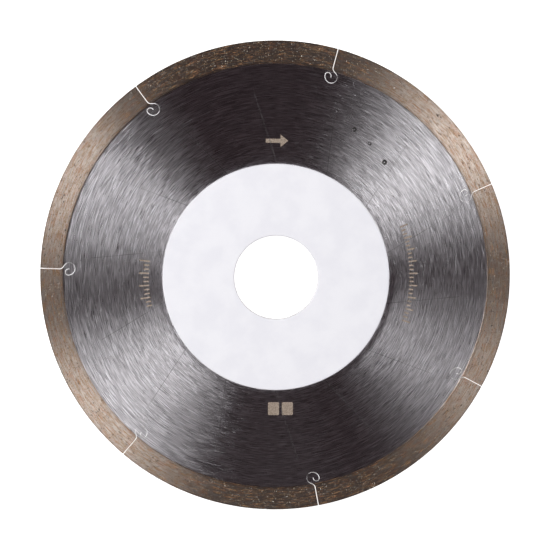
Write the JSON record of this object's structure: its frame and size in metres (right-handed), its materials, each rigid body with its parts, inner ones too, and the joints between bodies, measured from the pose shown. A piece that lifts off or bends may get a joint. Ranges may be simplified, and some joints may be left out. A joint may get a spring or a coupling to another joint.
{
  "type": "diamond blade",
  "caption": "Thin round saw blade for tile and stone: brushed steel core, sintered diamond rim parted by curled laser slots, raised hub plates, blank round label and a plain round bore.",
  "frame": {"origin": "centre of the bore, half way through the steel core", "axes": "+Z along the blade's axis, out of the labelled front face; +X and +Y lie in the disc, with the rotation arrow near +Y"},
  "size_m": [0.125, 0.125, 0.0027],
  "materials": {
    "core_steel": "circular brushed, fine tangential scratches",
    "plate_steel": "circular brushed",
    "weld_steel": "fused, dull",
    "diamond_rim": "sintered bronze matrix with diamond grit, matt and pitted",
    "label_paper": "plain white coated paper, no print"
  },
  "bodies": {
    "root": {"steel_core": "core_steel", "rim_segment_1": "diamond_rim", "rim_segment_2": "diamond_rim", "rim_segment_3": "diamond_rim", "rim_segment_4": "diamond_rim", "rim_segment_5": "diamond_rim", "rim_segment_6": "diamond_rim", "rim_segment_7": "diamond_rim", "hub_plate_front": "plate_steel", "hub_plate_back": "plate_steel", "hub_spot_welds": "weld_steel", "label_front": "label_paper"}
  },
  "joints": []
}
